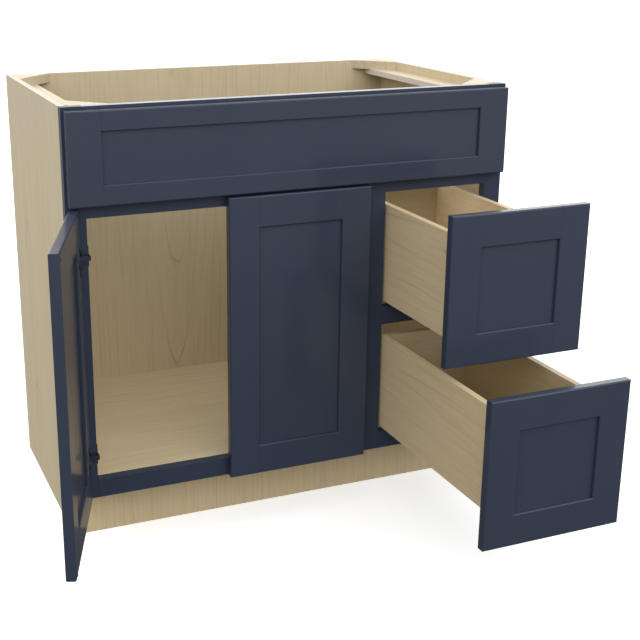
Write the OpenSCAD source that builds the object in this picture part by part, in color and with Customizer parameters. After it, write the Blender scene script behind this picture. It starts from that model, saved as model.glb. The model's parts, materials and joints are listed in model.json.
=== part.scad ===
// Bathroom vanity base cabinet with a face frame: a sink bay behind two doors, a bank of
// two drawers, and a fixed false front across the top.
// Millimetres. +Z is up, the fronts face -Y, the wall is the plane y = 0, the floor is
// z = 0, and x = 0 is the middle of the width. The left door and both drawers stand open.

/* [Cabinet] */
// Overall width across the side panels
cabinet_w = 914.4; // [740:0.1:1110]
// Overall height, with no countertop
cabinet_h = 876.3; // [725:0.1:1060]
// Depth from the wall to the front of the face frame
cabinet_d = 533.4; // [430:0.1:650]
// Thickness of the plywood sides, back, floor and toe board
ply_t = 12.7; // [9:0.1:19]
// Depth of the grooves in the sides that hold the floor panel
dado_d = 6.3; // [2:0.1:8]
// Height of the toe space
toe_h = 114.3; // [80:0.1:150]
// Depth of the toe space, back from the front of the face frame
toe_d = 76.2; // [40:0.1:100]

/* [Corner gussets and cleats] */
// Length of a corner gusset's two square edges
gusset_leg = 80; // [70:0.5:100]
// Thickness of a corner gusset, which is also how far the cleats sit below the top
gusset_t = 19; // [12:0.5:25]
// Size of the clipped square corner of a gusset
gusset_clip = 8; // [3:0.5:12]
// Radius of the countertop screw hole in each gusset
screw_hole_r = 2.5; // [1.5:0.1:3.5]
// Distance of a screw hole from the side panel's inner face
screw_hole_in = 56; // [53:0.5:58]
// Distance of a screw hole from the back panel or the face frame
screw_hole_off = 11; // [8:0.5:12]
// Width of the cleats that lie flat along the top of the sides
cleat_w = 46; // [25:0.5:50]

/* [Face frame] */
// Thickness of the face frame
frame_t = 19.05; // [16:0.05:25]
// Width of the outer stiles
stile_w = 38.1; // [30:0.1:50]
// Width of the stile between the doors and the drawers
centre_stile_w = 76.2; // [70:0.1:100]
// Width of the four rails
rail_w = 38.1; // [30:0.1:45]
// Height of the opening behind the false front
false_opening_h = 127; // [100:0.5:160]
// Width of the drawer opening
drawer_opening_w = 228.6; // [190:0.1:280]

/* [Doors and fronts] */
// Thickness of the doors and fronts
front_t = 19.05; // [18:0.05:25]
// Gap between a closed door or drawer front and the face frame
front_gap = 2; // [1.5:0.1:3]
// How far a door or a drawer front covers the stile beside its opening
overlay = 34; // [32.5:0.1:34.5]
// How far a drawer front covers the stile between the doors and the drawers
centre_overlay = 29.5; // [24:0.1:34]
// Gap between the two doors
pair_gap = 3; // [2:0.1:5]
// Gap between fronts that stand one above the other
tier_gap = 4.5; // [2:0.1:6]
// Bare frame left above the false front
top_reveal = 5.8; // [2:0.1:12]
// Bare frame left below the doors
bottom_reveal = 1.4; // [0:0.1:6]
// Height of the false front
false_front_h = 173.3; // [160:0.1:180]
// Bare frame left at each end of the false front
side_reveal = 4.1; // [2:0.1:8]
// Width of the stiles and rails of doors and drawer fronts
member_w = 62; // [50:0.5:75]
// Width of the false front's stiles
false_member_w = 64; // [50:0.5:80]
// Width of the false front's rails
false_rail_w = 38; // [30:0.5:45]
// Thickness of the flat centre panels
centre_panel_t = 6.35; // [4:0.05:8]
// Depth of the groove that holds a centre panel
groove_d = 9.5; // [6:0.5:12]
// Room for the centre panel to swell in its groove
panel_float = 1; // [0.5:0.1:2]
// Radius of the eased outer edges
ease_r = 3; // [2.8:0.1:4]
// Chamfer on the inner edges, around the centre panel
bead = 1.5; // [0.5:0.1:3]

/* [Drawer boxes] */
// Thickness of a drawer box's sides, front and back
box_t = 12.7; // [9:0.1:16]
// Thickness of a drawer bottom
bottom_t = 6.35; // [4:0.05:9]
// Height of a drawer bottom above the lower edge of the sides
bottom_recess = 12.7; // [12:0.1:16]
// Gap between a drawer box and each side of its opening
box_side_gap = 5; // [3:0.1:8]
// Gap between a drawer box and the bottom of its opening
box_lift = 11.1; // [10:0.1:16]
// Gap between a drawer box and the top of its opening
box_headroom = 27; // [10:0.5:40]
// Space behind a closed drawer box
box_back_gap = 65.5; // [10:0.5:100]

/* [Slides] */
// Width of a slide
slide_w = 34; // [28:0.5:42]
// Thickness of the slides' steel
slide_steel = 1.5; // [1:0.1:2]
// Gap between a slide and the drawer side beside it
slide_side_gap = 1.5; // [0.5:0.1:3]
// How far the wooden bearers under the slides rise above the drawer opening's bottom
bearer_rise = 6.35; // [5:0.05:7]
// Thickness of the upper drawer's bearers
bearer_t = 19; // [12:0.5:25]
// How far a bearer reaches behind the stile beside it
bearer_reach = 6.3; // [0:0.1:12]

/* [Hinges] */
// Distance from a door's end to the middle of a hinge
hinge_inset = 90; // [60:1:110]
// Distance from the door's edge to the hinge pin
pin_edge = 8; // [7.5:0.1:8.5]
// Distance from the door's back to the hinge pin
pin_depth = 10; // [9.5:0.1:10.5]
// Radius of a hinge pin
pin_r = 2; // [1.8:0.05:2.1]
// Running clearance around a hinge pin, on the radius
pin_clear = 0.04; // [0.02:0.01:0.1]
// Radius of the pocket bored in the door for a hinge cup
cup_r = 17.5; // [17.5:0.1:18]
// Distance from the door's edge to the middle of the pocket
cup_edge = 21; // [21:0.1:21.5]
// Depth of the pocket
cup_depth = 14; // [13.9:0.1:14.5]

/* [Position shown] */
// Angle that the left door stands open
left_door_angle = 109.2; // [0:0.5:110]
// Part of its travel that the top drawer stands open
top_drawer_part = 0.625; // [0:0.001:1]
// Part of its travel that the bottom drawer stands open
bottom_drawer_part = 0.965; // [0:0.001:1]

/* [Hidden] */
$fn = 48;
cut = 1;                 // how far a cutting solid runs past the face it opens
arc_steps = 6;           // straight steps in each eased edge's quarter circle

paint = [0.23, 0.26, 0.32];
maple = [0.80, 0.72, 0.56];
pale_maple = [0.86, 0.79, 0.65];
steel = "silver";
gunmetal = [0.30, 0.32, 0.36];
smoke = [0.36, 0.38, 0.42];

// Case
side_in_x = cabinet_w / 2 - ply_t;
frame_front_y = -cabinet_d;
frame_back_y = -cabinet_d + frame_t;
case_depth = cabinet_d - frame_t;
inner_depth = case_depth - ply_t;
cleat_z = cabinet_h - gusset_t - ply_t;

// Face frame, from the floor up
bottom_rail_z = toe_h;
floor_top = toe_h + rail_w;
top_rail_z = cabinet_h - rail_w;
middle_rail_z = top_rail_z - false_opening_h - rail_w;
drawer_opening_h = (middle_rail_z - floor_top - rail_w) / 2;
drawer_rail_z = floor_top + drawer_opening_h;
left_open_x = -cabinet_w / 2 + stile_w;
right_open_x = cabinet_w / 2 - stile_w;
drawer_open_x = right_open_x - drawer_opening_w;
centre_stile_x = drawer_open_x - centre_stile_w;

// Doors and fronts
fronts_y = frame_front_y - front_gap;
lower_z = toe_h + bottom_reveal;
false_front_z = cabinet_h - top_reveal - false_front_h;
door_h = false_front_z - tier_gap - lower_z;
door_w = (centre_stile_x - left_open_x + 2 * overlay - pair_gap) / 2;
left_door_x = left_open_x - overlay;
right_door_x = centre_stile_x + overlay - door_w;
drawer_front_w = drawer_opening_w + centre_overlay + overlay;
drawer_front_h = (door_h - tier_gap) / 2;
drawer_front_x = drawer_open_x - centre_overlay;
top_front_z = lower_z + drawer_front_h + tier_gap;
false_front_w = cabinet_w - 2 * side_reveal;

// Drawer boxes
box_x = drawer_open_x + box_side_gap;
box_w = drawer_opening_w - 2 * box_side_gap;
box_h = drawer_opening_h - box_lift - box_headroom;
box_len = -fronts_y - ply_t - box_back_gap;
travel = box_len;
top_out = travel * top_drawer_part;
bottom_out = travel * bottom_drawer_part;
top_opening_z = drawer_rail_z + rail_w;
bottom_opening_z = floor_top;
screw_r = 2;
screw_head_r = 4;
screw_head_t = 2.5;
screw_bite = 12;         // how far a screw goes into the front that it holds
screw_edge = 4.2;        // middle of a screw from the box side's inner face
screw_up = 5;            // middle of a lower screw above the drawer bottom
screw_down = 9;          // middle of an upper screw below the top edge

// Slides: channels one above the other between the bearer and the drawer bottom
slide_rail_h = 9;        // height of the fixed channel
slide_nest = 1.5;        // sideways room between one channel and the next
middle_low = 2.5;        // underside of the middle channel above the bearer
middle_h = 10.5;         // height of the middle channel
runner_h = 7;            // height of the drawer's channel
middle_setback = 2;      // middle channel's front end behind the face frame
middle_short = 57;       // how much shorter the middle channel is than the drawer
runner_short = 10;       // how much shorter the drawer's channel is than the drawer
slide_stack = box_lift + bottom_recess - bearer_rise;

// Hinges, measured from the pin: x towards the door's free edge, y into the cabinet
knuckle_r = 3;
knuckle_half = 5;
arm_t = 1.8;
arm_half = 4.6;
hinge_plate_half = 20;
cup_fit = 0.1;
cup_wall = 1.1;
cup_floor = 0.8;
flange_t = 1.2;
flange_r = 20;
wing_half = 27;
wing_x = 5;
wing_w = 16;
wing_screw = 22;
wing_screw_r = 3.4;
wing_screw_t = 0.5;
flange_edge = 5;         // door's edge to the nearest edge of the flange
ear_half = 7.2;
ear_gap = 0.12;
ear_back = 2.8;
ear_front = 3.2;
arm_x = overlay - pin_edge;
cup_x = cup_edge - pin_edge;
cup_inner_r = cup_r - cup_fit - cup_wall;
bumper_r = 4;
bumper_in = 9;           // middle of a bumper from the door's edges
bumper_t = front_gap - 0.1;
left_pin = [left_door_x + pin_edge, fronts_y - pin_depth, 0];
right_pin = [right_door_x + door_w - pin_edge, fronts_y - pin_depth, 0];

// A box given by its lowest corner and its size
module block(at, size) {
    translate(at) cube(size);
}

// Two pieces, one the mirror image of the other across the plane x = middle
module pair_about(middle) {
    children();
    translate([2 * middle, 0, 0]) mirror([1, 0, 0]) children();
}

// ---- Panel-and-frame fronts: x from 0, z from 0, back face at y = 0 ----

// Outline of a slab whose four edges are eased, from [0, -front_t] to [length, 0]
function eased_corner(c, from) = [
    for (i = [0 : arc_steps])
        c + ease_r * [cos(from + 90 * i / arc_steps), sin(from + 90 * i / arc_steps)]
];
function eased_outline(length) = concat(
    eased_corner([ease_r, ease_r - front_t], 180),
    eased_corner([length - ease_r, ease_r - front_t], 270),
    eased_corner([length - ease_r, -ease_r], 0),
    eased_corner([ease_r, -ease_r], 90)
);

// Outline of the opening for the centre panel, from lo to hi, chamfered at both faces
function window_outline(lo, hi) = [
    [lo - bead - cut, -front_t - cut], [lo, bead - front_t], [lo, -bead],
    [lo - bead - cut, cut], [hi + bead + cut, cut], [hi, -bead],
    [hi, bead - front_t], [hi + bead + cut, -front_t - cut]
];

// Extrudes along X an outline whose points are [z, y]
module along_x(length, outline) {
    rotate([90, 0, 90]) linear_extrude(length)
        polygon([for (p = outline) [p[1], p[0]]]);
}

module front_frame(w, h, side_w, end_w) {
    difference() {
        intersection() {
            linear_extrude(h) polygon(eased_outline(w));
            along_x(w, eased_outline(h));
        }
        intersection() {
            translate([0, 0, -cut]) linear_extrude(h + 2 * cut)
                polygon(window_outline(side_w, w - side_w));
            translate([-cut, 0, 0])
                along_x(w + 2 * cut, window_outline(end_w, h - end_w));
        }
    }
}

groove_y = -(front_t + centre_panel_t) / 2;

// Stile at the low-x side, with the groove for the panel and for the rails' tenons
module low_stile(w, h, side_w, end_w) {
    difference() {
        intersection() {
            front_frame(w, h, side_w, end_w);
            block([0, -front_t, 0], [side_w, front_t, h]);
        }
        block([side_w - groove_d, groove_y, -cut],
              [groove_d + cut, centre_panel_t, h + 2 * cut]);
    }
}

module high_stile(w, h, side_w, end_w) {
    translate([w, 0, 0]) mirror([1, 0, 0]) low_stile(w, h, side_w, end_w);
}

// Lower rail, with a groove along its inner edge and a tenon at each end
module low_rail(w, h, side_w, end_w) {
    difference() {
        intersection() {
            front_frame(w, h, side_w, end_w);
            block([side_w, -front_t, 0], [w - 2 * side_w, front_t, end_w]);
        }
        block([0, groove_y, end_w - groove_d], [w, centre_panel_t, groove_d + cut]);
    }
    for (x = [side_w - groove_d, w - side_w])
        block([x, groove_y, 0], [groove_d, centre_panel_t, end_w - groove_d]);
}

module rails(w, h, side_w, end_w) {
    low_rail(w, h, side_w, end_w);
    translate([0, 0, h]) mirror([0, 0, 1]) low_rail(w, h, side_w, end_w);
}

module centre_panel(w, h, side_w, end_w) {
    hidden = groove_d - panel_float;
    block([side_w - hidden, groove_y, end_w - hidden],
          [w - 2 * (side_w - hidden), centre_panel_t, h - 2 * (end_w - hidden)]);
}

// ---- Case ----

// Side panel at the low-x side, notched for the toe space, grooved for the floor
module side_panel() {
    difference() {
        block([-cabinet_w / 2, -case_depth, 0], [ply_t, case_depth, cabinet_h]);
        block([-cabinet_w / 2 - cut, -case_depth - cut, -cut],
              [ply_t + 2 * cut, toe_d - frame_t + cut, toe_h + cut]);
        block([-side_in_x - dado_d, -case_depth - cut, floor_top - ply_t],
              [dado_d + cut, inner_depth + cut, ply_t]);
    }
}

module left_side_panel() {
    color(maple) side_panel();
}

module right_side_panel() {
    color(maple) mirror([1, 0, 0]) side_panel();
}

module back_panel() {
    color(maple) block([-side_in_x, -ply_t, 0], [2 * side_in_x, ply_t, cabinet_h]);
}

module floor_panel() {
    color(maple) block([-side_in_x - dado_d, -case_depth, floor_top - ply_t],
                       [2 * (side_in_x + dado_d), inner_depth, ply_t]);
}

module toe_board() {
    color(maple) block([-side_in_x, toe_d - cabinet_d, 0],
                       [2 * side_in_x, ply_t, floor_top - ply_t]);
}

module cleat() {
    block([-side_in_x, -case_depth, cleat_z], [cleat_w, inner_depth, ply_t]);
}

module left_cleat() {
    color(pale_maple) cleat();
}

module right_cleat() {
    color(pale_maple) mirror([1, 0, 0]) cleat();
}

// Triangle with its square corner at the origin, between +X and +Y
module gusset() {
    difference() {
        linear_extrude(gusset_t)
            polygon([[gusset_clip, 0], [gusset_leg, 0], [0, gusset_leg], [0, gusset_clip]]);
        translate([screw_hole_in, screw_hole_off, -cut])
            cylinder(r = screw_hole_r, h = gusset_t + 2 * cut);
    }
}

module corner_gussets() {
    gusset_z = cabinet_h - gusset_t;
    color(pale_maple) pair_about(0) {
        translate([-side_in_x, -case_depth, gusset_z]) gusset();
        translate([-side_in_x, -ply_t, gusset_z]) mirror([0, 1, 0]) gusset();
    }
}

// ---- Face frame ----

module frame_member(x, z, w, h) {
    color(paint) block([x, frame_front_y, z], [w, frame_t, h]);
}

module left_stile() {
    frame_member(-cabinet_w / 2, toe_h, stile_w, cabinet_h - toe_h);
}

module right_stile() {
    frame_member(right_open_x, toe_h, stile_w, cabinet_h - toe_h);
}

module centre_stile() {
    frame_member(centre_stile_x, floor_top, centre_stile_w, middle_rail_z - floor_top);
}

false_screw_x = right_open_x - 90;

module frame_rail_full(z) {
    frame_member(left_open_x, z, right_open_x - left_open_x, rail_w);
}

// The two rails behind the false front are drilled for the screws that hold it
module drilled_rail(z, hole_z) {
    color(paint) difference() {
        frame_rail_full(z);
        for (x = [-false_screw_x, 0, false_screw_x])
            translate([x, frame_front_y - cut, hole_z]) rotate([-90, 0, 0])
                cylinder(r = screw_r, h = frame_t + 2 * cut);
    }
}

false_screw_top_z = top_rail_z + rail_w / 3;
false_screw_low_z = middle_rail_z + rail_w * 2 / 3;

module top_rail() {
    drilled_rail(top_rail_z, false_screw_top_z);
}

module middle_rail() {
    drilled_rail(middle_rail_z, false_screw_low_z);
}

module bottom_rail() {
    frame_rail_full(bottom_rail_z);
}

module drawer_rail() {
    frame_member(drawer_open_x, drawer_rail_z, drawer_opening_w, rail_w);
}

// ---- False front, screwed tight against the face frame ----

module at_false_front() {
    translate([-false_front_w / 2, frame_front_y, false_front_z]) children();
}

module false_screw_holes() {
    for (x = [-false_screw_x, 0, false_screw_x], z = [false_screw_top_z, false_screw_low_z])
        translate([x, frame_front_y - screw_bite, z]) rotate([-90, 0, 0])
            cylinder(r = screw_r, h = screw_bite + cut);
}

module false_front_stiles() {
    color(paint) at_false_front() {
        low_stile(false_front_w, false_front_h, false_member_w, false_rail_w);
        high_stile(false_front_w, false_front_h, false_member_w, false_rail_w);
    }
}

module false_front_rails() {
    color(paint) difference() {
        at_false_front() rails(false_front_w, false_front_h, false_member_w, false_rail_w);
        false_screw_holes();
    }
}

module false_front_panel() {
    color(paint) at_false_front()
        centre_panel(false_front_w, false_front_h, false_member_w, false_rail_w);
}

// Screw along -Y: the underside of its head is at the origin
module screw(grip) {
    rotate([90, 0, 0]) cylinder(r = screw_r, h = grip + screw_bite);
    rotate([-90, 0, 0]) cylinder(r = screw_head_r, h = screw_head_t);
}

module false_front_screws() {
    color(steel)
        for (x = [-false_screw_x, 0, false_screw_x], z = [false_screw_top_z, false_screw_low_z])
            translate([x, frame_back_y, z]) screw(frame_t);
}

// ---- Doors ----

module swung_left() {
    translate(left_pin) rotate([0, 0, -left_door_angle]) translate(-left_pin) children();
}

module at_left_door() {
    swung_left() translate([left_door_x, fronts_y, lower_z]) children();
}

module at_right_door() {
    translate([right_door_x, fronts_y, lower_z]) children();
}

hinge_heights = [hinge_inset, door_h - hinge_inset];

// Pocket for a hinge cup, in a hinge stile at the low-x side
module cup_pockets() {
    for (z = hinge_heights)
        translate([cup_edge, -cup_depth, z]) rotate([-90, 0, 0])
            cylinder(r = cup_r, h = cup_depth + cut);
}

module hinge_stile() {
    difference() {
        low_stile(door_w, door_h, member_w, member_w);
        cup_pockets();
    }
}

module free_stile() {
    high_stile(door_w, door_h, member_w, member_w);
}

// A right door's piece from a left door's
module handed_right() {
    translate([door_w, 0, 0]) mirror([1, 0, 0]) children();
}

module left_door_hinge_stile() {
    color(paint) at_left_door() hinge_stile();
}

module left_door_free_stile() {
    color(paint) at_left_door() free_stile();
}

module left_door_rails() {
    color(paint) at_left_door() rails(door_w, door_h, member_w, member_w);
}

module left_door_panel() {
    color(paint) at_left_door() centre_panel(door_w, door_h, member_w, member_w);
}

module right_door_hinge_stile() {
    color(paint) at_right_door() handed_right() hinge_stile();
}

module right_door_free_stile() {
    color(paint) at_right_door() handed_right() free_stile();
}

module right_door_rails() {
    color(paint) at_right_door() rails(door_w, door_h, member_w, member_w);
}

module right_door_panel() {
    color(paint) at_right_door() centre_panel(door_w, door_h, member_w, member_w);
}

// Soft bumpers on the free stile's back, which close against the rails
module bumpers() {
    for (z = [bumper_in, door_h - bumper_in])
        translate([door_w - bumper_in, 0, z]) rotate([-90, 0, 0])
            cylinder(r = bumper_r, h = bumper_t);
}

module left_door_bumpers() {
    color(smoke) at_left_door() bumpers();
}

module right_door_bumpers() {
    color(smoke) at_right_door() handed_right() bumpers();
}

// ---- Hinges, drawn for a left door with the pin at the origin ----

module along_y(radius, from, to) {
    translate([0, from, 0]) rotate([-90, 0, 0]) cylinder(r = radius, h = to - from);
}

module hinge_arm() {
    difference() {
        union() {
            translate([0, 0, -knuckle_half]) cylinder(r = knuckle_r, h = 2 * knuckle_half);
            block([0, -knuckle_r, -arm_half], [arm_x + arm_t, arm_t, 2 * arm_half]);
            block([arm_x, -knuckle_r, -arm_half],
                  [arm_t, knuckle_r + pin_depth + front_gap + frame_t, 2 * arm_half]);
            block([arm_x, pin_depth + front_gap + bead, -hinge_plate_half],
                  [arm_t, frame_t - bead, 2 * hinge_plate_half]);
        }
        translate([0, 0, -knuckle_half - cut])
            cylinder(r = pin_r + pin_clear, h = 2 * (knuckle_half + cut));
    }
}

module hinge_pin() {
    translate([0, 0, -ear_half]) cylinder(r = pin_r, h = 2 * ear_half);
}

module hinge_ear() {
    block([-ear_back, cup_floor - pocket_floor, knuckle_half + ear_gap],
          [ear_back + ear_front, pocket_floor - cup_floor + knuckle_r,
           ear_half - knuckle_half - ear_gap]);
}

pocket_floor = cup_depth - pin_depth;

module hinge_cup() {
    difference() {
        union() {
            translate([cup_x, 0, 0]) difference() {
                union() {
                    along_y(cup_r - cup_fit, -pocket_floor, pin_depth);
                    intersection() {
                        union() {
                            along_y(flange_r, pin_depth, pin_depth + flange_t);
                            block([wing_x - cup_x, pin_depth, -wing_half],
                                  [wing_w, flange_t, 2 * wing_half]);
                        }
                        block([flange_edge - cup_edge, pin_depth, -wing_half],
                              [flange_r + cup_edge, flange_t, 2 * wing_half]);
                    }
                }
                along_y(cup_inner_r, cup_floor - pocket_floor, pin_depth + flange_t + cut);
            }
            hinge_ear();
            mirror([0, 0, 1]) hinge_ear();
            for (z = [-wing_screw, wing_screw])
                translate([wing_x + wing_w / 2, 0, z])
                    along_y(wing_screw_r, pin_depth, pin_depth + flange_t + wing_screw_t);
        }
        translate([0, 0, -ear_half - cut]) cylinder(r = pin_r, h = 2 * (ear_half + cut));
        block([-cup_r, cup_floor - pocket_floor, -knuckle_half - ear_gap],
              [cup_r, pocket_floor + pin_depth + flange_t + cut,
               2 * (knuckle_half + ear_gap)]);
    }
}

// Places a hinge piece at both heights on a pin line
module at_hinges(pin) {
    for (z = hinge_heights)
        translate([pin[0], pin[1], lower_z + z]) children();
}

module left_hinge_arms() {
    color(gunmetal) at_hinges(left_pin) hinge_arm();
}

module right_hinge_arms() {
    color(gunmetal) at_hinges(right_pin) mirror([1, 0, 0]) hinge_arm();
}

module left_hinge_cups() {
    color(gunmetal) swung_left() at_hinges(left_pin) hinge_cup();
}

module right_hinge_cups() {
    color(gunmetal) at_hinges(right_pin) mirror([1, 0, 0]) hinge_cup();
}

module left_hinge_pins() {
    color(gunmetal) at_hinges(left_pin) hinge_pin();
}

module right_hinge_pins() {
    color(gunmetal) at_hinges(right_pin) hinge_pin();
}

// ---- Drawer slides ----

drawer_mid_x = drawer_open_x + drawer_opening_w / 2;
slide_x = box_x + box_t + slide_side_gap;

module slide_bearers() {
    bearer_x = drawer_open_x - bearer_reach;
    bearer_w = slide_x + slide_w - bearer_x;
    color(pale_maple) pair_about(drawer_mid_x) {
        block([bearer_x, -case_depth, bottom_opening_z], [bearer_w, inner_depth, bearer_rise]);
        block([bearer_x, -case_depth, top_opening_z + bearer_rise - bearer_t],
              [bearer_w, inner_depth, bearer_t]);
    }
}

// Steel channel along Y, open at the top
module channel(w, h, length) {
    difference() {
        cube([w, length, h]);
        block([slide_steel, -cut, slide_steel],
              [w - 2 * slide_steel, length + 2 * cut, h - slide_steel + cut]);
    }
}

module capped_channel(w, h, length) {
    translate([0, 0, h]) mirror([0, 0, 1]) channel(w, h, length);
}

// Places a left slide's piece, and its mirror image for the right slide
module at_slides(opening_z, out) {
    color(steel) pair_about(drawer_mid_x)
        translate([slide_x, -out, opening_z + bearer_rise]) children();
}

module slide_rails(opening_z) {
    at_slides(opening_z, case_depth) channel(slide_w, slide_rail_h, box_len);
}

module slide_middles(opening_z, out) {
    inset = slide_steel + slide_nest;
    at_slides(opening_z, case_depth - middle_setback + out / 2)
        translate([inset, 0, middle_low])
            capped_channel(slide_w - 2 * inset, middle_h, box_len - middle_short);
}

module drawer_runners(opening_z, out) {
    at_slides(opening_z, -fronts_y + out)
        translate([0, box_t, slide_stack - runner_h])
            capped_channel(slide_w, runner_h, box_len - box_t - runner_short);
}

module top_slide_rails() {
    slide_rails(top_opening_z);
}

module bottom_slide_rails() {
    slide_rails(bottom_opening_z);
}

module top_slide_middles() {
    slide_middles(top_opening_z, top_out);
}

module bottom_slide_middles() {
    slide_middles(bottom_opening_z, bottom_out);
}

module top_drawer_runners() {
    drawer_runners(top_opening_z, top_out);
}

module bottom_drawer_runners() {
    drawer_runners(bottom_opening_z, bottom_out);
}

// ---- Drawer boxes: x from the box's low side, y from the front's back face, z from the
// ---- lower edge of the sides

box_inner_w = box_w - 2 * box_t;
box_groove_d = box_t / 2;

module at_top_box() {
    translate([box_x, fronts_y - top_out, top_opening_z + box_lift]) children();
}

module at_bottom_box() {
    translate([box_x, fronts_y - bottom_out, bottom_opening_z + box_lift]) children();
}

module box_side() {
    difference() {
        cube([box_t, box_len, box_h]);
        block([box_t - box_groove_d, -cut, bottom_recess],
              [box_groove_d + cut, box_len + 2 * cut, bottom_t]);
    }
}

module box_far_side() {
    translate([box_w, 0, 0]) mirror([1, 0, 0]) box_side();
}

screw_points = [
    for (x = [box_t + screw_edge, box_w - box_t - screw_edge],
         z = [bottom_recess + bottom_t + screw_up, box_h - screw_down]) [x, 0, z]
];

module box_front() {
    difference() {
        block([box_t, 0, 0], [box_inner_w, box_t, box_h]);
        block([0, box_t - box_groove_d, bottom_recess], [box_w, box_t, bottom_t]);
        for (p = screw_points)
            translate(p) along_y(screw_r, -cut, box_t + cut);
    }
}

module box_back() {
    above = bottom_recess + bottom_t;
    block([box_t, box_len - box_t, above], [box_inner_w, box_t, box_h - above]);
}

module box_bottom() {
    block([box_t - box_groove_d, box_t - box_groove_d, bottom_recess],
          [box_inner_w + 2 * box_groove_d, box_len - box_t + box_groove_d, bottom_t]);
}

module box_screws() {
    for (p = screw_points)
        translate([p[0], box_t, p[2]]) screw(box_t);
}

// Drills a drawer front's pieces for the screws that come through the box front. The
// screws stand beside the box sides, so they enter the stiles and the panel's edges.
module drilled_front(box_z) {
    difference() {
        children();
        for (p = screw_points)
            translate([p[0] + centre_overlay + box_side_gap, 0, p[2] + box_z])
                along_y(screw_r, -screw_bite, cut);
    }
}

module drawer_stiles(box_z) {
    drilled_front(box_z) {
        low_stile(drawer_front_w, drawer_front_h, member_w, member_w);
        high_stile(drawer_front_w, drawer_front_h, member_w, member_w);
    }
}

module drawer_rails(box_z) {
    drilled_front(box_z) rails(drawer_front_w, drawer_front_h, member_w, member_w);
}

module drawer_panel(box_z) {
    drilled_front(box_z) centre_panel(drawer_front_w, drawer_front_h, member_w, member_w);
}

top_box_z = top_opening_z + box_lift - top_front_z;
bottom_box_z = bottom_opening_z + box_lift - lower_z;

module at_top_front() {
    translate([drawer_front_x, fronts_y - top_out, top_front_z]) children();
}

module at_bottom_front() {
    translate([drawer_front_x, fronts_y - bottom_out, lower_z]) children();
}

module top_drawer_left_side() {
    color(maple) at_top_box() box_side();
}

module top_drawer_right_side() {
    color(maple) at_top_box() box_far_side();
}

module top_drawer_box_front() {
    color(maple) at_top_box() box_front();
}

module top_drawer_box_back() {
    color(maple) at_top_box() box_back();
}

module top_drawer_bottom() {
    color(maple) at_top_box() box_bottom();
}

module top_drawer_screws() {
    color(steel) at_top_box() box_screws();
}

module top_drawer_front_stiles() {
    color(paint) at_top_front() drawer_stiles(top_box_z);
}

module top_drawer_front_rails() {
    color(paint) at_top_front() drawer_rails(top_box_z);
}

module top_drawer_front_panel() {
    color(paint) at_top_front() drawer_panel(top_box_z);
}

module bottom_drawer_left_side() {
    color(maple) at_bottom_box() box_side();
}

module bottom_drawer_right_side() {
    color(maple) at_bottom_box() box_far_side();
}

module bottom_drawer_box_front() {
    color(maple) at_bottom_box() box_front();
}

module bottom_drawer_box_back() {
    color(maple) at_bottom_box() box_back();
}

module bottom_drawer_bottom() {
    color(maple) at_bottom_box() box_bottom();
}

module bottom_drawer_screws() {
    color(steel) at_bottom_box() box_screws();
}

module bottom_drawer_front_stiles() {
    color(paint) at_bottom_front() drawer_stiles(bottom_box_z);
}

module bottom_drawer_front_rails() {
    color(paint) at_bottom_front() drawer_rails(bottom_box_z);
}

module bottom_drawer_front_panel() {
    color(paint) at_bottom_front() drawer_panel(bottom_box_z);
}

left_side_panel();
right_side_panel();
back_panel();
floor_panel();
toe_board();
left_cleat();
right_cleat();
corner_gussets();
left_stile();
centre_stile();
right_stile();
top_rail();
middle_rail();
drawer_rail();
bottom_rail();
false_front_stiles();
false_front_rails();
false_front_panel();
false_front_screws();
slide_bearers();
top_slide_rails();
bottom_slide_rails();
top_slide_middles();
bottom_slide_middles();
left_hinge_arms();
right_hinge_arms();
left_door_hinge_stile();
left_door_free_stile();
left_door_rails();
left_door_panel();
left_hinge_cups();
left_hinge_pins();
left_door_bumpers();
right_door_hinge_stile();
right_door_free_stile();
right_door_rails();
right_door_panel();
right_hinge_cups();
right_hinge_pins();
right_door_bumpers();
top_drawer_left_side();
top_drawer_right_side();
top_drawer_box_front();
top_drawer_box_back();
top_drawer_bottom();
top_drawer_front_stiles();
top_drawer_front_rails();
top_drawer_front_panel();
top_drawer_screws();
top_drawer_runners();
bottom_drawer_left_side();
bottom_drawer_right_side();
bottom_drawer_box_front();
bottom_drawer_box_back();
bottom_drawer_bottom();
bottom_drawer_front_stiles();
bottom_drawer_front_rails();
bottom_drawer_front_panel();
bottom_drawer_screws();
bottom_drawer_runners();
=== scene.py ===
# %% [markdown]
# # A bathroom vanity cabinet in Blender
#
# The real object is a sink cabinet: a maple plywood box, a painted face frame across its
# front, two doors, two drawers and a fixed false front. Its sizes, joints and hidden
# parts are already designed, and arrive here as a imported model. Loading it gives one
# object per piece, each in its true place in metres: +Z is up, the fronts face -Y, the
# wall is the plane y = 0. This script never moves those pieces. It gives them finishes,
# and models finer versions of the pieces whose edges and hardware are seen up close.

import json
import math

import bpy
from mathutils import Matrix, Vector

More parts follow.
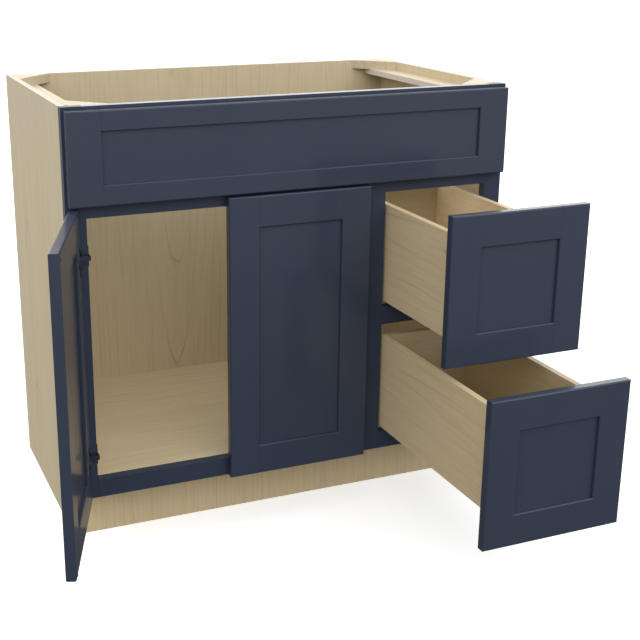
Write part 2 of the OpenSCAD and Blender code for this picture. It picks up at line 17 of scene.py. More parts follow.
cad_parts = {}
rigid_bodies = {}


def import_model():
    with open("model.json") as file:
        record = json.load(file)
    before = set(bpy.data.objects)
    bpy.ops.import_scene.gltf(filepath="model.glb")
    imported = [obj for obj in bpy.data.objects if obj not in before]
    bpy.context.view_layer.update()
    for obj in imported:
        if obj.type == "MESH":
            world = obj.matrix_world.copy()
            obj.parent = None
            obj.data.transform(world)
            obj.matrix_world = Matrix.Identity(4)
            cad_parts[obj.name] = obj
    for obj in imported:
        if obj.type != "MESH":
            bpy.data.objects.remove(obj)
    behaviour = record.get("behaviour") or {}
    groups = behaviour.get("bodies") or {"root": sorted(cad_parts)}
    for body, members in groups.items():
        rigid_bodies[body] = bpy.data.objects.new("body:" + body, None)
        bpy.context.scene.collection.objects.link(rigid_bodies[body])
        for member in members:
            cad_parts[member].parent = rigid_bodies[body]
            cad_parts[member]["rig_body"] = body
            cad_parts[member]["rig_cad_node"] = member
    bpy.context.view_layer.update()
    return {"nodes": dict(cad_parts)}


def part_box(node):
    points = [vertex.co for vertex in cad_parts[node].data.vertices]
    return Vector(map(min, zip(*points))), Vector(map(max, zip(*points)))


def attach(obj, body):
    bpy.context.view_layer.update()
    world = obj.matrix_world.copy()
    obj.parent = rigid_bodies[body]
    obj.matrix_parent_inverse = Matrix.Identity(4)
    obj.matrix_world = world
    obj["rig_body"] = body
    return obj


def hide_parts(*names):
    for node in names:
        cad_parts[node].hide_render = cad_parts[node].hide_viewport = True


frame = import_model()

# %% [markdown]
# ## The camera
#
# A product picture of a cabinet is taken from standing height, a little to one side, so
# that a side panel, the fronts and the open top all show. A long lens keeps the upright
# edges nearly parallel. The cabinet is off the middle of the picture, and instead of
# turning the camera, which would tilt its edges, the lens is shifted a little.

# %% Stand the camera in front of the cabinet, to its left
CAMERA_PLACE = (-0.887, -2.546, 1.168)
LOOK_DOWN = 17.19
TURN_RIGHT = 21.84
LENS = 65.13
LENS_SHIFT = (0.0938, -0.0453)

bpy.ops.object.camera_add(
    location=CAMERA_PLACE,
    rotation=(math.radians(90 - LOOK_DOWN), 0, -math.radians(TURN_RIGHT)),
)
camera = bpy.context.object
camera.name = "camera"
camera.data.lens = LENS
camera.data.shift_x, camera.data.shift_y = LENS_SHIFT
bpy.context.scene.camera = camera
print("camera with a", round(LENS), "mm lens")

# %% [markdown]
# ## A short way to write shaders
#
# A procedural finish is a sum: so much grain, plus so much fleck, times so much colour.
# Wiring each Math node by hand hides that sum. This small class wraps a node's socket so
# that Python's own + - * / and ** make the Math nodes.

# %% Wrap a socket, so that sums can be written as sums


class Value:
    """A number that changes over a surface: a socket of a shader node."""

    def __init__(self, shader, socket):
        self.shader = shader
        self.socket = socket

    def sum_of(self, operation, first, second=None):
        inputs = {0: first} if second is None else {0: first, 1: second}
        return self.shader.node("Math", {"operation": operation}, inputs)

    def __add__(self, other):
        return self.sum_of("ADD", self, other)

    __radd__ = __add__

    def __sub__(self, other):
        return self.sum_of("SUBTRACT", self, other)

    def __rsub__(self, other):
        return self.sum_of("SUBTRACT", other, self)

    def __mul__(self, other):
        return self.sum_of("MULTIPLY", self, other)

    __rmul__ = __mul__

    def __truediv__(self, other):
        return self.sum_of("DIVIDE", self, other)

    def __pow__(self, power):
        return self.sum_of("POWER", self, power)

    def __abs__(self):
        return self.sum_of("ABSOLUTE", self)

    def __gt__(self, other):
        return self.sum_of("GREATER_THAN", self, other)

    def part(self):
        """What is left after the whole number: a saw-tooth that climbs from 0 to 1."""
        return self.sum_of("FRACT", self)


print("sockets can be added, multiplied and compared")

# %% [markdown]
# ## The other nodes
#
# Noise, blends and coordinates are nodes too, but not sums. One method, `node`, makes any
# of them: its settings first, then what goes into its sockets. The methods under it give
# the few that are used often a plain name. In `noise`, the numbers say how fast the
# pattern changes: a place times 420 gives spots about 1/420 of a metre apart.

# %% Wrap a tree of nodes


class Shader:
    """A tree of shader nodes, and the one node that ends it."""

    def __init__(self, tree, last):
        self.tree = tree
        self.last = tree.nodes[last]

    def node(self, kind, settings=None, inputs=None, output=0):
        """Makes a node: its settings are set first, then its sockets are filled or joined."""
        made = self.tree.nodes.new("ShaderNode" + kind)
        for setting, choice in (settings or {}).items():
            setattr(made, setting, choice)
        for socket, value in (inputs or {}).items():
            if isinstance(value, Value):
                self.tree.links.new(value.socket, made.inputs[socket])
            else:
                made.inputs[socket].default_value = value
        return Value(self, made.outputs[output])

    def three(self, output):
        """A texture coordinate as three numbers. Object is the point on the piece in
        metres, and Normal is the way its surface faces."""
        point = self.node("TexCoord", output=output)
        return [self.node("SeparateXYZ", None, {0: point}, axis) for axis in "XYZ"]

    def noise(self, x, y, z, detail=2.0):
        """Cloudy noise about 0.5, stretched by how fast each number grows."""
        point = self.node("CombineXYZ", None, {"X": x, "Y": y, "Z": z})
        return self.node("TexNoise", None, {"Vector": point, "Scale": 1.0, "Detail": detail})

    def smooth(self, value, low, high):
        """0 below low, 1 above high, and an easy slope between."""
        settings = {"interpolation_type": "SMOOTHSTEP"}
        return self.node("MapRange", settings, {0: value, 1: low, 2: high})

    def blend(self, amount, first, second):
        """A colour between two colours."""
        return self.node("Mix", {"data_type": "RGBA"}, {0: amount, 6: first, 7: second}, 2)

    def feed(self, socket, value):
        """Joins a value to a socket of the last node."""
        self.tree.links.new(value.socket, self.last.inputs[socket])


print("node helpers ready")

# %% [markdown]
# ## A finish
#
# A finish is one material. What is the same all over it, such as how metallic it is, is
# set straight on the shader as it is made. What varies is fed in afterwards.

# %% Wrap a material


class Finish(Shader):
    """One material. What is the same all over the surface is given as it is made."""

    def __init__(self, name, **constants):
        self.material = bpy.data.materials.new(name)
        self.material.use_nodes = True
        super().__init__(self.material.node_tree, "Principled BSDF")
        for socket, number in constants.items():
            self.last.inputs[socket.replace("_", " ")].default_value = number

    def bump(self, height, depth):
        """Raises the surface by up to depth metres, where height is 1."""
        inputs = {"Height": height, "Distance": depth, "Strength": 1.0}
        self.feed("Normal", self.node("Bump", None, inputs))


print("finishes can be mixed")

# %% [markdown]
# ## Floor and light
#
# Pale wood and dark paint both show well in a white room. The light comes from all
# round and most from above, so upper edges shine, upright faces are even, and the
# inside of the cabinet falls into a warm shade. A world whose strength grows with
# height gives this. Two bands of it are brighter, like windows: a low one behind the
# cabinet makes its top edges shine, and a high one in front reaches into it. The
# floor only catches the soft shadow: it throws no light back, as a white floor would
# wash out the paint from below. It is wide enough to hide its own far edge. The picture
# uses the Standard view, which shows a colour as it was mixed. Heights run from -1,
# straight down, to 1, straight up.

# %% Make the room
FLOOR_SIZE = 400
FLOOR_GLOW = 0.5
WHITE = (1, 1, 1, 1)
LIGHT_FROM_BELOW = 0.07
LIGHT_AT_EYE_LEVEL = 0.74
EXTRA_LIGHT_ABOVE = 0.35
EXTRA_LIGHT_BEHIND = 1.6
EXTRA_LIGHT_IN_FRONT = 1.25

world = bpy.data.worlds.new("white_room")
world.use_nodes = True
room = Shader(world.node_tree, "Background")
backward, height = room.three("Generated")[1:]
from_sides = room.smooth(height, -0.55, 0.08) * LIGHT_AT_EYE_LEVEL
from_above = room.smooth(height, 0.0, 1.0) * EXTRA_LIGHT_ABOVE
low_window = room.smooth(height, 0.0, 0.2) * (1 - room.smooth(height, 0.4, 0.7))
from_behind = room.smooth(backward, 0.2, 0.8) * low_window * EXTRA_LIGHT_BEHIND
high_window = room.smooth(height, 0.15, 0.4) * (1 - room.smooth(height, 0.65, 0.85))
from_front = room.smooth(0 - backward, 0.2, 0.6) * high_window * EXTRA_LIGHT_IN_FRONT
windows = from_behind + from_front
room.feed("Strength", LIGHT_FROM_BELOW + from_sides + from_above + windows)
room.last.inputs["Color"].default_value = WHITE
bpy.context.scene.world = world
bpy.context.scene.view_settings.view_transform = "Standard"

bpy.ops.object.select_all(action="DESELECT")
bpy.ops.mesh.primitive_plane_add(size=FLOOR_SIZE)
floor = bpy.context.object
floor.name = "floor"
floor.visible_diffuse = False
floor.visible_glossy = False
floor.visible_shadow = False
floor_paint = Finish(
    "floor_paint",
    Base_Color=(0.9, 0.9, 0.9, 1),
    Roughness=0.9,
    Emission_Color=WHITE,
    Emission_Strength=FLOOR_GLOW,
)
floor.data.materials.append(floor_paint.material)
print("a white room with a floor", FLOOR_SIZE, "m across")

# %% [markdown]
# ## The painted finish
#
# The frame, doors and fronts are maple sprayed with a blue-grey paint. Sprayed paint is
# never perfectly flat: it has a faint orange peel, and the wood's grain shows through as
# long, shallow lines. The grain runs along each member, so stiles and rails need it
# turned. Three slow noises do it: two shape the surface and one shifts the colour. The
# doors and fronts are rubbed down and get a thin clear lacquer. It adds little to a face
# seen square on, but it makes top faces and rounds shine, because they are seen at a low
# angle. The face frame is left as sprayed, so it shines less.

# %% Mix the paint
PAINT_LIGHT = (0.034, 0.046, 0.075, 1)
PAINT_DARK = (0.029, 0.040, 0.067, 1)
LACQUER = 0.42
FRONT_GLOSS = 0.25
FRAME_GLOSS = 0.2
LACQUER_ROUGHNESS = 0.12
GRAIN_ALONG = 7
GRAIN_ACROSS = 420
ORANGE_PEEL = 330
CLOUDS = 9
PAINT_RELIEF = 0.00012


def paint(name, along, gloss=FRONT_GLOSS, lacquer=LACQUER):
    """Blue-grey paint over grain that runs along one axis, given as X, Y or Z."""
    finish = Finish(
        name, Specular_IOR_Level=gloss, Coat_Weight=lacquer, Coat_Roughness=LACQUER_ROUGHNESS
    )
    place = finish.three("Object")
    stretch = [GRAIN_ALONG if axis == along else GRAIN_ACROSS for axis in "XYZ"]
    grain = finish.noise(*[p * s for p, s in zip(place, stretch)], detail=3.0)
    peel = finish.noise(*[p * ORANGE_PEEL for p in place], detail=1.0)
    cloud = finish.noise(*[p * CLOUDS for p in place])
    finish.feed("Base Color", finish.blend(cloud, PAINT_DARK, PAINT_LIGHT))
    finish.feed("Roughness", 0.30 + 0.10 * cloud + 0.06 * grain)
    finish.bump(grain * 0.7 + peel * 0.3, PAINT_RELIEF)
    return finish.material


paint_upright = paint("paint_upright_grain", "Z")
paint_level = paint("paint_level_grain", "X")
frame_upright = paint("frame_paint_upright_grain", "Z", FRAME_GLOSS, lacquer=0.0)
frame_level = paint("frame_paint_level_grain", "X", FRAME_GLOSS, lacquer=0.0)
print("paint mixed")

# %% [markdown]
# ## The colours of maple
#
# Maple is pale, with a slightly redder wood between its growth rings, and thin brown
# lines where one year's growth ends. The boards were not cut from one log, so each group
# is toned a little: a tone is multiplied into the maple's own colour. Three of the tones
# are painted light instead: the fronts, backs and bottoms of the drawer boxes are darkened
# as painted shade, the bottom drawer's bottom and right side more deeply, and the toe board
# is darkened and warmed as painted shade and painted warm bounce light. The drawer boxes,
# the gussets in the corners and the bearers under the slides show solid wood at their
# edges. The other boards show the layers of their plywood.

# %% Mix the colours of maple
MAPLE_PALE = (0.715, 0.610, 0.410, 1)
MAPLE_WARM = (0.650, 0.545, 0.355, 1)
RING_LINE = (0.360, 0.270, 0.150, 1)
PLY_PALE = (0.825, 0.785, 0.720, 1)
PLY_WARM = (0.600, 0.515, 0.385, 1)

CASE_MAPLE = (0.905, 0.895, 0.880, 1)
PALE_MAPLE = (0.870, 0.855, 0.870, 1)
# Painted shade and painted warm bounce light: darkens and warms the toe board under the
# drawers.
TOE_PAINTED_SHADE_AND_BOUNCE = (0.930, 0.865, 0.775, 1)
DRAWER_MAPLE = (1.080, 1.020, 0.950, 1)
# Painted shade: darkens the boards inside the drawer boxes.
DRAWER_INSIDE_PAINTED_SHADE = (0.780, 0.750, 0.690, 1)
# Deeper painted shade: darkens the bottom drawer's bottom and right side, under the top
# drawer.
LOW_DRAWER_PAINTED_SHADE = (0.820, 0.770, 0.700, 1)
SOLID_EDGED = ("gussets", "bearers", "drawer")
print("maple in six tones")

# %% [markdown]
# ## Growth rings
#
# The face of the plywood is a thin slice of a log, so its pattern is the log's growth
# rings cut at a shallow angle: nested pointed arches in the middle, nearly straight lines
# beside them. A picture of wood would do for one board, but not for its edges, nor for
# twenty boards that should all differ. So the rings are drawn as they grow. Each is at a
# distance from a long leaning axis, and a saw-tooth of that distance gives each line its
# sharp side and its soft side. Slow noises bend the lines and let them fade in and out.

# %% Draw the growth rings
RING_SPACING = 0.02
LINE_SHARPNESS = 26


def growth_rings(finish, point, arch, lean, shift):
    """The lines of the growth rings, 1 on a line and 0 between."""
    u, v, w = point
    sway = finish.noise(u * 5, v * 5 + shift, w * 2.2) - 0.5
    shiver = finish.noise(u * 40, v * 40 - shift, w * 16) - 0.5
    beside = u - arch[0] + sway * 0.03 + shiver * 0.004
    above = (w - arch[1]) * lean
    distance = (beside * beside + above * above) ** 0.5
    wander = finish.noise(u * 12, v + shift, w * 1.5)
    ring = (distance / RING_SPACING + wander * 1.2).part()
    strength = finish.smooth(finish.noise(u * 16, v - shift, w * 3.5), 0.36, 0.66)
    return (1 - ring) ** LINE_SHARPNESS * strength


print("growth rings every", RING_SPACING * 1000, "mm")

# %% [markdown]
# ## Maple boards
#
# Over the rings lie fine fibres, broad pale bands, thin darker streaks and short flecks,
# all long in the grain's direction. A cut edge shows the plies instead, so the way a
# face points chooses between the two: a face across the board's thickness is veneer, and
# any other is edge.

# %% Grow the maple
PLYWOOD = 0.0127
PLIES = 5
WOOD_RELIEF = 0.00008


def maple(name, along, through, arch, lean, tone_and_shade, plies):
    """Maple plywood. `along` is the grain's axis and `through` the thickness's. `arch` is
    where a growth ring's arch has its middle: across the grain, then along it. `lean` is
    how steeply the slice cuts the rings: a bigger one makes blunter arches."""
    finish = Finish(name, Specular_IOR_Level=0.5)
    place = dict(zip("XYZ", finish.three("Object")))
    facing = dict(zip("XYZ", finish.three("Normal")))
    across = [axis for axis in "XYZ" if axis not in (along, through)][0]
    u, v, w = place[across], place[through], place[along]
    shift = arch[0] * 3.1 + arch[1] * 1.7

    line = growth_rings(finish, (u, v, w), arch, lean, shift)
    fibre = finish.noise(u * 330, v * 330 + shift, w * 7, detail=3.0)
    band = finish.noise(u * 24, v * 24 - shift, w * 0.9)
    streak = finish.smooth(finish.noise(u * 160, v * 160 - shift, w * 9), 0.50, 0.72)
    fleck = finish.smooth(finish.noise(u * 380, v * 380, w * 110), 0.56, 0.70)
    warmth = finish.smooth(band * 0.4 + fibre * 0.6, 0.25, 0.75)
    face = finish.blend(warmth, MAPLE_PALE, MAPLE_WARM)
    face = finish.blend(line * 0.72 + streak * 0.13 + fleck * 0.10, face, RING_LINE)

    layer = (v * (plies / PLYWOOD) + shift).part()
    ply = finish.smooth(abs(layer - 0.5), 0.2, 0.3)
    grit = finish.noise(u * 700, v * 700, w * 700)
    edge = finish.blend(ply * 0.45 + grit * 0.35, PLY_PALE, PLY_WARM)
    is_edge = (1 - (abs(facing[through]) > 0.5)) * (plies > 0)

    multiply = {"data_type": "RGBA", "blend_type": "MULTIPLY"}
    colour = finish.blend(is_edge, face, edge)
    # The tone multiplies the colour: for the drawer insides it is painted shade, for the toe
    # board painted shade and painted warm bounce light, for the other boards their own tone.
    finish.feed("Base Color", finish.node("Mix", multiply, {0: 1.0, 6: colour, 7: tone_and_shade}, 2))
    finish.feed("Roughness", 0.42 + 0.16 * fibre + 0.2 * is_edge)
    finish.bump(fibre * 0.6 - line * 0.5 + ply * is_edge, WOOD_RELIEF)
    return finish.material


print("maple grown, with", PLIES, "plies in", PLYWOOD * 1000, "mm")

# %% [markdown]
# ## Metal and rubber
#
# The hinges are plated in gunmetal, a dark blue-grey that is quiet beside the paint.
# Screws and drawer slides are zinc plated, which is paler and a little blue. Plating
# takes the fine scratches of the rolled sheet below it. The door bumpers are soft
# rubber, smoky so that they don't show on dark paint.

# %% Plate the metal, mould the rubber
GUNMETAL = (0.065, 0.075, 0.100)
ZINC = (0.56, 0.58, 0.60)
RUBBER_PALE = (0.13, 0.14, 0.17, 1)
RUBBER_DARK = (0.09, 0.10, 0.12, 1)
SCRATCH_DEPTH = 0.00002
RUBBER_RELIEF = 0.00005


def plated(name, colour, rough):
    """Plated steel with fine rolling scratches along the sheet."""
    finish = Finish(name, Metallic=1.0)
    x, y, z = finish.three("Object")
    scratch = finish.noise(x * 900, y * 60, z * 900, detail=3.0)
    cloud = finish.noise(x * 90, y * 90, z * 90)
    dull = tuple(c * 0.8 for c in colour)
    finish.feed("Base Color", finish.blend(cloud, (*colour, 1), (*dull, 1)))
    finish.feed("Roughness", rough + 0.1 * scratch + 0.08 * cloud)
    finish.bump(scratch, SCRATCH_DEPTH)
    return finish.material


def rubber(name):
    """Soft smoky rubber with a faint matt texture."""
    finish = Finish(name, Specular_IOR_Level=0.3)
    grain = finish.noise(*[p * 1500 for p in finish.three("Object")])
    finish.feed("Base Color", finish.blend(grain, RUBBER_PALE, RUBBER_DARK))
    finish.feed("Roughness", 0.5 + 0.2 * grain)
    finish.bump(grain, RUBBER_RELIEF)
    return finish.material


gunmetal = plated("gunmetal_plate", GUNMETAL, 0.42)
zinc = plated("zinc_plate", ZINC, 0.34)
smoky_rubber = rubber("smoky_rubber")
print("metal and rubber ready")

# %% [markdown]
# ## Finishes on the designed pieces
#
# Each designed piece gets its finish here, and the finer piece that stands for it later
# takes the same one. Every board has its own place in the log, so each row below gives
# the grain's axis, the thickness's axis, the middle of the arches, and their lean. In
# the tones, a later row wins over an earlier one.

# %% Give each designed piece its finish
WOOD = {
    "left_side_panel": ("Z", "X", (-0.15, -1.6), 0.05),
    "right_side_panel": ("Z", "X", (-0.30, 2.4), 0.05),
    "back_panel": ("Z", "Y", (-0.083, 0.93), 0.092),
    "floor_panel": ("X", "Z", (-0.20, -1.9), 0.05),
    "toe_board": ("Z", "Y", (-0.025, -0.45), 0.05),
    "left_cleat": ("Y", "Z", (-0.43, 1.0), 0.05),
    "right_cleat": ("Y", "Z", (0.43, -1.7), 0.05),
    "corner_gussets": ("Y", "Z", (0.1, 0.7), 0.05),
    "slide_bearers": ("Y", "Z", (0.3, 0.4), 0.05),
    "top_drawer_left_side": ("Y", "X", (0.61, -1.4), 0.05),
    "top_drawer_right_side": ("Y", "X", (0.50, -1.9), 0.05),
    "top_drawer_box_front": ("X", "Y", (0.55, -0.4), 0.05),
    "top_drawer_box_back": ("X", "Y", (0.58, 0.9), 0.05),
    "top_drawer_bottom": ("Y", "Z", (0.30, -1.6), 0.05),
    "bottom_drawer_left_side": ("Y", "X", (0.31, -1.2), 0.05),
    "bottom_drawer_right_side": ("Y", "X", (0.20, -2.1), 0.05),
    "bottom_drawer_box_front": ("X", "Y", (0.27, 0.9), 0.05),
    "bottom_drawer_box_back": ("X", "Y", (0.26, -0.4), 0.05),
    "bottom_drawer_bottom": ("Y", "Z", (0.27, -2.2), 0.05),
}
# The drawer-inside and low-drawer rows are painted shade, and the toe row is painted shade
# and painted warm bounce light. The other rows are the boards' own tones.
BOARD_TONES_AND_SHADE = (
    ("toe", TOE_PAINTED_SHADE_AND_BOUNCE),
    ("drawer", DRAWER_INSIDE_PAINTED_SHADE),
    ("cleat", PALE_MAPLE),
    ("gussets", PALE_MAPLE),
    ("drawer_left_side", DRAWER_MAPLE),
    ("drawer_right_side", DRAWER_MAPLE),
    ("bottom_drawer_bottom", LOW_DRAWER_PAINTED_SHADE),
    ("bottom_drawer_right_side", LOW_DRAWER_PAINTED_SHADE),
)
FRAME_UPRIGHT = ("left_stile", "centre_stile", "right_stile")
FRAME_LEVEL = ("middle_rail", "drawer_rail", "bottom_rail")
METAL = {"hinge": gunmetal, "screws": zinc, "slide": zinc, "runners": zinc}


def finish_for(node):
    """The finish of a designed piece, chosen by its name."""
    if node in WOOD:
        along, through, arch, lean = WOOD[node]
        tone_and_shade = CASE_MAPLE
        for word, special in BOARD_TONES_AND_SHADE:
            if word in node:
                tone_and_shade = special
        plies = 0 if any(word in node for word in SOLID_EDGED) else PLIES
        return maple("maple_" + node, along, through, arch, lean, tone_and_shade, plies)
    if "bumpers" in node:
        return smoky_rubber
    if node in FRAME_UPRIGHT:
        return frame_upright
    if node in FRAME_LEVEL:
        return frame_level
    for word, metal in METAL.items():
        if word in node and "stile" not in node:
            return metal
    if "rails" in node or node in ("top_rail", "false_front_panel"):
        return paint_level
    return paint_upright


for name, piece in frame["nodes"].items():
    piece.data.materials.clear()
    piece.data.materials.append(finish_for(name))
print(len(WOOD), "boards and", len(frame["nodes"]) - len(WOOD), "other pieces finished")

# %% [markdown]
# ## How a finer piece is made
#
# A designed board has razor-sharp edges. A real one is sanded, so each edge is a tiny
# round that catches the light. Two ways lead there. A plain board starts as a block at
# the designed board's own corners, is cut to shape, and then has its edges eased. A
# milled piece, such as a grooved door stile, starts as a copy of the designed one: its
# loose triangles are joined up first, and then its edges are eased in the same way.

# %% Tools that start a piece


def only(piece):
    """Selects one piece and nothing else, because an operator acts on all selected."""
    bpy.ops.object.select_all(action="DESELECT")
    piece.select_set(True)
    bpy.context.view_layer.objects.active = piece


def add_block(name, low, high):
    """A block between two corners, with its place in its mesh."""
    bpy.ops.object.select_all(action="DESELECT")
    bpy.ops.mesh.primitive_cube_add(size=1, location=(low + high) / 2, scale=high - low)
    block = bpy.context.object
    block.name = name
    bpy.ops.object.transform_apply(location=True, rotation=True, scale=True)
    return block


def joined_copy(node, name):
    """A copy of a designed piece, with its loose triangles joined and flats made whole."""
    only(frame["nodes"][node])
    bpy.ops.object.duplicate()
    copy = bpy.context.object
    copy.name = name
    copy.parent = None
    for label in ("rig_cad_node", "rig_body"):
        del copy[label]
    bpy.ops.object.mode_set(mode="EDIT")
    bpy.ops.mesh.select_all(action="SELECT")
    bpy.ops.mesh.remove_doubles(threshold=0.00001)
    bpy.ops.mesh.dissolve_limited(angle_limit=math.radians(0.5))
    bpy.ops.object.mode_set(mode="OBJECT")
    return copy


print("blocks and copies can be made")

# %% [markdown]
# ## Cutting and easing
#
# A cut is a Boolean modifier, applied at once. To ease the edges, the sharp ones are
# selected by their angle in edit mode and bevelled. Smooth shading alone would then bend
# the light across the big flat faces too, so a Weighted Normal modifier lets the flats
# win, and only the rounds look round.

# %% Tools that shape a piece
SANDED = 0.0005


def cut_away(piece, cutter):
    """Takes the cutter's shape out of the piece, and throws the cutter away."""
    only(piece)
    cut = piece.modifiers.new("cut", "BOOLEAN")
    cut.operation = "DIFFERENCE"
    cut.solver = "EXACT"
    cut.object = cutter
    bpy.ops.object.modifier_apply(modifier=cut.name)
    bpy.data.objects.remove(cutter)


def shade_rounds(piece):
    """Smooth shading in which the big flat faces win, so that only the rounds look round."""
    only(piece)
    bpy.ops.object.shade_smooth_by_angle(angle=math.radians(50))
    flats_win = piece.modifiers.new("flats_win", "WEIGHTED_NORMAL")
    flats_win.weight = 100
    flats_win.keep_sharp = True
    bpy.ops.object.modifier_apply(modifier=flats_win.name)


def ease_edges(piece, radius=SANDED, steps=2, sharper_than=40):
    """Rounds every edge that turns by more than so many degrees."""
    only(piece)
    bpy.ops.object.mode_set(mode="EDIT")
    bpy.ops.mesh.select_mode(type="EDGE")
    bpy.ops.mesh.select_all(action="DESELECT")
    bpy.ops.mesh.edges_select_sharp(sharpness=math.radians(sharper_than))
    bpy.ops.mesh.bevel(offset=radius, segments=steps, affect="EDGES", clamp_overlap=True)
    bpy.ops.object.mode_set(mode="OBJECT")
    shade_rounds(piece)


print("edges are sanded to", SANDED * 1000, "mm")

# %% [markdown]
# ## Standing for a designed piece
#
# A finer piece takes over the finish of the designed piece and the body that it rides
# on, so it moves with the same door or drawer.


def show_instead(piece, node):
    """Lets a finer piece stand for a designed one."""
    designed = frame["nodes"][node]
    piece.data.materials.clear()
    piece.data.materials.append(designed.data.materials[0])
    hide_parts(node)
    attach(piece, designed["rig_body"])


print("pieces can be put in place")

# %% [markdown]
# ## The plain boards
#
# The back, floor, toe board and cleats, most of the face frame, and the backs and
# bottoms of the drawers are plain boards. Each is a block with sanded edges. The block
# could also be drawn face by face, but a primitive at the right corners is quicker and
# cannot be out of place.

# %% Saw the plain boards
PLAIN_BOARDS = (
    "back_panel", "floor_panel", "toe_board", "left_cleat", "right_cleat",
    "left_stile", "centre_stile", "right_stile", "drawer_rail", "bottom_rail",
    "top_drawer_box_back", "bottom_drawer_box_back",
    "top_drawer_bottom", "bottom_drawer_bottom",
)

for node in PLAIN_BOARDS:
    board = add_block(node + "_board", *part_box(node))
    ease_edges(board)
    show_instead(board, node)
print(len(PLAIN_BOARDS), "plain boards")

# %% [markdown]
# ## The side panels
#
# A side panel has a notch at its foot for the toe space, and a groove inside that holds
# the floor panel. Both are sawn from the whole board here, as in the shop: a block is
# cut away for each. The sizes of the cuts come from the boards that fit into them.

# %% Saw and groove the side panels
SAW_PAST = 0.01


def side_panel(node, inner_face):
    """A side panel. `inner_face` is -1 where the panel's inner face looks along -X."""
    low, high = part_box(node)
    deck_low, deck_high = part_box("floor_panel")
    toe_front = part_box("toe_board")[0].y
    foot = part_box("bottom_rail")[0].z

    panel = add_block(node + "_board", low, high)
    notch = add_block(
        "notch",
        Vector((low.x - SAW_PAST, low.y - SAW_PAST, low.z - SAW_PAST)),
        Vector((high.x + SAW_PAST, toe_front, foot)),
    )
    cut_away(panel, notch)
    if inner_face > 0:
        near, far = deck_low.x, high.x + SAW_PAST
    else:
        near, far = low.x - SAW_PAST, deck_high.x
    groove = add_block(
        "groove",
        Vector((near, low.y - SAW_PAST, deck_low.z)),
        Vector((far, deck_high.y, deck_high.z)),
    )
    cut_away(panel, groove)
    ease_edges(panel)
    show_instead(panel, node)


side_panel("left_side_panel", 1)
side_panel("right_side_panel", -1)
print("two side panels")

# %% [markdown]
# ## The milled pieces
#
# Door and drawer fronts are frames of stiles and rails, grooved for a flat panel, with
# eased outer edges and a small chamfer round the panel. The drawer sides are grooved
# too. The rails behind the false front, the fronts of the drawer boxes and the gussets
# in the corners are drilled for screws. Blocks and cuts could make all of these again,
# but the design already has every groove and hole in its place. So they start as copies
# of the designed pieces, and get sanded edges, a little crisper than those of a plain
# board. The bearers are made in the same way, because they are four boards in one piece.

# %% Mill the grooved and the drilled pieces
MILLED_EDGE = 0.0004
ALSO_MILLED = ("top_rail", "middle_rail", "corner_gussets", "slide_bearers")


def is_milled(node):
    """True for the parts of doors and fronts, the drawer sides and the few named above."""
    if node.endswith(("screws", "bumpers")):
        return False
    box_side = "drawer" in node and node.endswith("_side")
    return "door" in node or "front" in node or box_side or node in ALSO_MILLED


MILLED = [node for node in frame["nodes"] if is_milled(node)]
for node in MILLED:
    piece = joined_copy(node, node + "_milled")
    ease_edges(piece, MILLED_EDGE)
    show_instead(piece, node)
print(len(MILLED), "milled pieces")

# %% [markdown]
# ## Hinges, slides and bumpers
#
# These are pressed from sheet steel or moulded. A press leaves the edges just broken,
# and a bumper comes out of its mould with a round shoulder, so it gets a bigger radius
# and more steps. Modelling them afresh would only repeat shapes that are already exact.

# %% Break the edges of the hardware
PRESSED_EDGE = 0.0002
MOULDED_EDGE = 0.0008

pressed = [
    name
    for name in frame["nodes"]
    if name.endswith(("hinge_arms", "hinge_cups", "hinge_pins", "runners"))
    or ("slide" in name and name not in WOOD)
]
for node in pressed:
    piece = joined_copy(node, node + "_pressed")
    ease_edges(piece, PRESSED_EDGE)
    show_instead(piece, node)
for node in ("left_door_bumpers", "right_door_bumpers"):
    piece = joined_copy(node, node + "_moulded")
    ease_edges(piece, MOULDED_EDGE, steps=4)
    show_instead(piece, node)
print(len(pressed), "pressed pieces and two pairs of bumpers")

# %% [markdown]
# ## A screw
#
# Fourteen screws hold the false front and the drawer fronts. A screw is a turned piece:
# a disc is drawn out step by step, and each step is made wider or narrower, as a lathe
# would. The thread could be a true helix, but at this size a row of ridges looks the
# same and stays light. The cross in the head is cut with two thin blocks.

# %% Turn a screw
SCREW_RADIUS = 0.0020
CORE_RADIUS = 0.0014
HEAD_RADIUS = 0.0040
HEAD_HEIGHT = 0.0025
THREAD_PITCH = 0.0016
POINT_LENGTH = 0.0045


def turned(name, profile, sides=20):
    """A round piece along +Z, drawn out through pairs of height and radius."""
    (height, radius), *steps = profile
    bpy.ops.object.select_all(action="DESELECT")
    bpy.ops.mesh.primitive_circle_add(
        vertices=sides, radius=radius, fill_type="NGON", location=(0, 0, height)
    )
    piece = bpy.context.object
    piece.name = name
    bpy.ops.object.transform_apply(location=True, rotation=True, scale=True)
    bpy.ops.object.mode_set(mode="EDIT")
    bpy.ops.mesh.select_all(action="SELECT")
    for next_height, next_radius in steps:
        rise = (0, 0, next_height - height)
        bpy.ops.mesh.extrude_region_move(TRANSFORM_OT_translate={"value": rise})
        ratio = next_radius / radius
        bpy.ops.transform.resize(value=(ratio, ratio, 1))
        height, radius = next_height, next_radius
    bpy.ops.mesh.select_all(action="SELECT")
    bpy.ops.mesh.normals_make_consistent(inside=False)
    bpy.ops.object.mode_set(mode="OBJECT")
    return piece


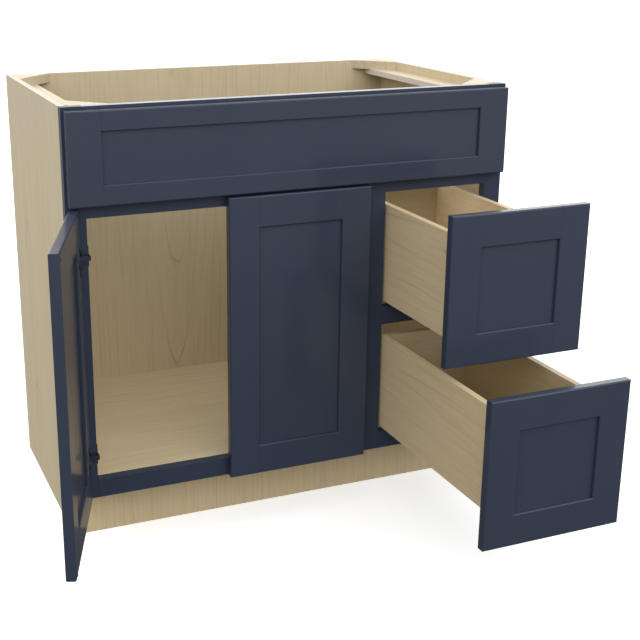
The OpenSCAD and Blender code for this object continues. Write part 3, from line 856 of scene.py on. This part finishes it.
def wood_screw(name, length):
    """A pan-head screw: the underside of its head is at 0, and its point at length."""
    profile = [
        (-HEAD_HEIGHT, HEAD_RADIUS * 0.55),
        (-HEAD_HEIGHT * 0.85, HEAD_RADIUS * 0.82),
        (-HEAD_HEIGHT * 0.45, HEAD_RADIUS * 0.98),
        (-HEAD_HEIGHT * 0.2, HEAD_RADIUS),
        (0, HEAD_RADIUS * 0.95),
        (0, SCREW_RADIUS),
    ]
    ridges = int((length - POINT_LENGTH) / THREAD_PITCH)
    for ridge in range(1, ridges + 1):
        crest = ridge * THREAD_PITCH
        profile += [
            (crest - THREAD_PITCH * 0.6, CORE_RADIUS),
            (crest - THREAD_PITCH * 0.1, SCREW_RADIUS),
            (crest, SCREW_RADIUS * 0.97),
        ]
    profile += [(length - POINT_LENGTH * 0.7, CORE_RADIUS), (length, CORE_RADIUS * 0.1)]
    screw = turned(name, profile)
    arm = Vector((HEAD_RADIUS * 0.55, HEAD_RADIUS * 0.12, HEAD_HEIGHT * 0.5))
    for reach in (arm, Vector((arm.y, arm.x, arm.z))):
        top = Vector((0, 0, -HEAD_HEIGHT))
        cut_away(screw, add_block("cross_cut", top - reach, top + reach))
    shade_rounds(screw)
    return screw


print("screws are", SCREW_RADIUS * 2000, "mm thick")

# %% [markdown]
# ## Driving the screws
#
# The design says where each screw is, and how long. One screw is made for each row of
# them and copied to its places, each copy turned by a different amount, as screws are.
# The copies are then joined, because they are one piece in the design too.

# %% Drive the copies home
TURN_BETWEEN_COPIES = 50


def solids_of(node):
    """The two corners of each separate solid in a designed piece."""
    joined_copy(node, "solids")
    bpy.ops.mesh.separate(type="LOOSE")
    corners = []
    for solid in list(bpy.context.selected_objects):
        places = list(zip(*(v.co for v in solid.data.vertices)))
        corners.append((Vector(map(min, places)), Vector(map(max, places))))
        bpy.data.objects.remove(solid)
    return sorted(corners, key=lambda pair: tuple(pair[0]))


def drive_screws(node):
    """Copies one screw to each place that the design has, and joins the copies."""
    places = solids_of(node)
    length = places[0][1].y - places[0][0].y - HEAD_HEIGHT
    pattern = wood_screw(node + "_pattern", length)
    copies = []
    for number, (low, high) in enumerate(places):
        copy = pattern.copy()
        copy.data = pattern.data.copy()
        bpy.context.collection.objects.link(copy)
        head = Vector(((low.x + high.x) / 2, high.y - HEAD_HEIGHT, (low.z + high.z) / 2))
        lie_down = Matrix.Rotation(math.pi / 2, 4, "X")
        turn = Matrix.Rotation(math.radians(number * TURN_BETWEEN_COPIES), 4, "Z")
        copy.matrix_world = Matrix.Translation(head) @ lie_down @ turn
        copies.append(copy)
    bpy.data.objects.remove(pattern)
    only(copies[0])
    for copy in copies:
        copy.select_set(True)
    bpy.ops.object.transform_apply(location=True, rotation=True, scale=True)
    bpy.ops.object.join()
    driven = bpy.context.object
    driven.name = node + "_driven"
    show_instead(driven, node)
    return driven


for node in ("false_front_screws", "top_drawer_screws", "bottom_drawer_screws"):
    screws = drive_screws(node)
    print(screws.name, len(screws.data.polygons), "faces")
